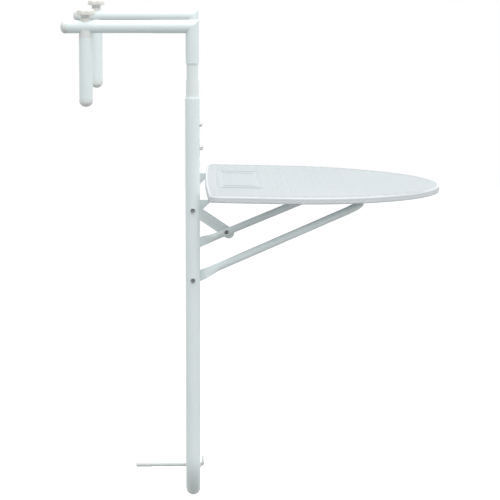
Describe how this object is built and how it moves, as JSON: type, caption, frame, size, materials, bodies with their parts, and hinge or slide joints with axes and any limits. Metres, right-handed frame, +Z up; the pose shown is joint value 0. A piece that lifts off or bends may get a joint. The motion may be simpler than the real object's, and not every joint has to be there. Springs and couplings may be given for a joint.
{
  "type": "balcony railing bar table",
  "caption": "Folding bar table hung on a balcony railing by two hook arms with clamps; D-shaped rattan-look top on a folding brace, height set by snap buttons.",
  "frame": {"origin": "on the plane of the poles, midway between them, level with the underside of the hook arms, where the table rests on the rail", "axes": "X along the railing, +Y towards the railing, -Y towards the user, +Z up"},
  "size_m": [0.6, 0.6416, 0.8168],
  "materials": {
    "frame_coat": "smooth satin powder coat, cool white",
    "cap_plastic": "fine matt moulded plastic, off-white",
    "knob_plastic": "satin moulded plastic, warm white",
    "rattan_plastic": "moulded woven texture, satin white",
    "zinc_steel": "bright zinc plate",
    "washer_nylon": "plain nylon",
    "spring_steel": "blued spring steel",
    "insert_brass": "turned brass"
  },
  "bodies": {
    "frame": {"u_frame": "frame_coat", "rod_bushes": "cap_plastic", "table_hinge_bolts": "zinc_steel", "table_hinge_washers": "washer_nylon", "table_hinge_nuts": "zinc_steel", "brace_hinge_bolts": "zinc_steel", "brace_hinge_washers": "washer_nylon", "brace_hinge_nuts": "zinc_steel", "stay_stud": "zinc_steel"},
    "table": {"tabletop": "rattan_plastic", "board_base": "rattan_plastic", "table_bracket_left": "frame_coat", "table_bracket_right": "frame_coat", "bracket_screws": "zinc_steel"},
    "brace": {"brace_frame": "frame_coat", "stay_bolt": "zinc_steel", "stay_washer": "washer_nylon", "stay_nut": "zinc_steel"},
    "stay": {"locking_stay": "frame_coat"},
    "rod": {"spacer_rod": "frame_coat", "rod_tip": "cap_plastic"},
    "arm_left": {"hook_arm_left": "frame_coat", "inner_tube_left": "frame_coat", "arm_cap_left": "cap_plastic", "snap_spring_left": "spring_steel"},
    "snap_left": {"snap_button_left": "zinc_steel"},
    "clamp_left": {"drop_tube_left": "frame_coat", "drop_cap_left": "cap_plastic", "saddle_left": "cap_plastic", "clamp_nut_left": "insert_brass", "pressure_pad_left": "knob_plastic"},
    "knob_left": {"knob_left": "knob_plastic", "clamp_stud_left": "zinc_steel"},
    "arm_right": {"hook_arm_right": "frame_coat", "inner_tube_right": "frame_coat", "arm_cap_right": "cap_plastic", "snap_spring_right": "spring_steel"},
    "snap_right": {"snap_button_right": "zinc_steel"},
    "clamp_right": {"drop_tube_right": "frame_coat", "drop_cap_right": "cap_plastic", "saddle_right": "cap_plastic", "clamp_nut_right": "insert_brass", "pressure_pad_right": "knob_plastic"},
    "knob_right": {"knob_right": "knob_plastic", "clamp_stud_right": "zinc_steel"}
  },
  "joints": [
    {"name": "table_fold", "type": "hinge", "parent": "frame", "child": "table", "pos_m": [0, 0, -0.2898], "axis": [1, 0, 0], "range_deg": [0, 88.88]},
    {"name": "brace_fold", "type": "hinge", "parent": "frame", "child": "brace", "pos_m": [0, 0, -0.4058], "axis": [1, 0, 0], "range_deg": [0, 112.94]},
    {"name": "stay_swing", "type": "hinge", "parent": "brace", "child": "stay", "pos_m": [0, -0.06079, -0.3801], "axis": [1, 0, 0], "range_deg": [0, 138.04]},
    {"name": "rod_slide", "type": "slide", "parent": "frame", "child": "rod", "axis": [0, 1, 0], "range_m": [-0.06, 0]},
    {"name": "height_left", "type": "slide", "parent": "frame", "child": "arm_left", "axis": [0, 0, 1], "range_m": [-0.054, 0.054]},
    {"name": "snap_press_left", "type": "slide", "parent": "arm_left", "child": "snap_left", "axis": [0, 1, 0], "range_m": [0, 0.0078], "stiffness_N_per_m": 1500, "springref_m": -0.003, "deforming": ["snap_spring_left"]},
    {"name": "clamp_slide_left", "type": "slide", "parent": "arm_left", "child": "clamp_left", "axis": [0, 1, 0], "range_m": [-0.106, 0.013]},
    {"name": "knob_turn_left", "type": "hinge", "parent": "clamp_left", "child": "knob_left", "pos_m": [-0.259, 0.174, 0.0294], "axis": [0, 0, 1], "range_deg": [0, 720]},
    {"name": "height_right", "type": "slide", "parent": "frame", "child": "arm_right", "axis": [0, 0, 1], "range_m": [-0.054, 0.054]},
    {"name": "snap_press_right", "type": "slide", "parent": "arm_right", "child": "snap_right", "axis": [0, 1, 0], "range_m": [0, 0.0078], "stiffness_N_per_m": 1500, "springref_m": -0.003, "deforming": ["snap_spring_right"]},
    {"name": "clamp_slide_right", "type": "slide", "parent": "arm_right", "child": "clamp_right", "axis": [0, 1, 0], "range_m": [-0.106, 0.013]},
    {"name": "knob_turn_right", "type": "hinge", "parent": "clamp_right", "child": "knob_right", "pos_m": [0.259, 0.174, 0.0294], "axis": [0, 0, 1], "range_deg": [0, 720]}
  ],
  "couplings": [
    {"joint": "brace_fold", "follows": "table_fold", "ratio": 1.2705},
    {"joint": "stay_swing", "follows": "table_fold", "ratio": 1.5529}
  ]
}
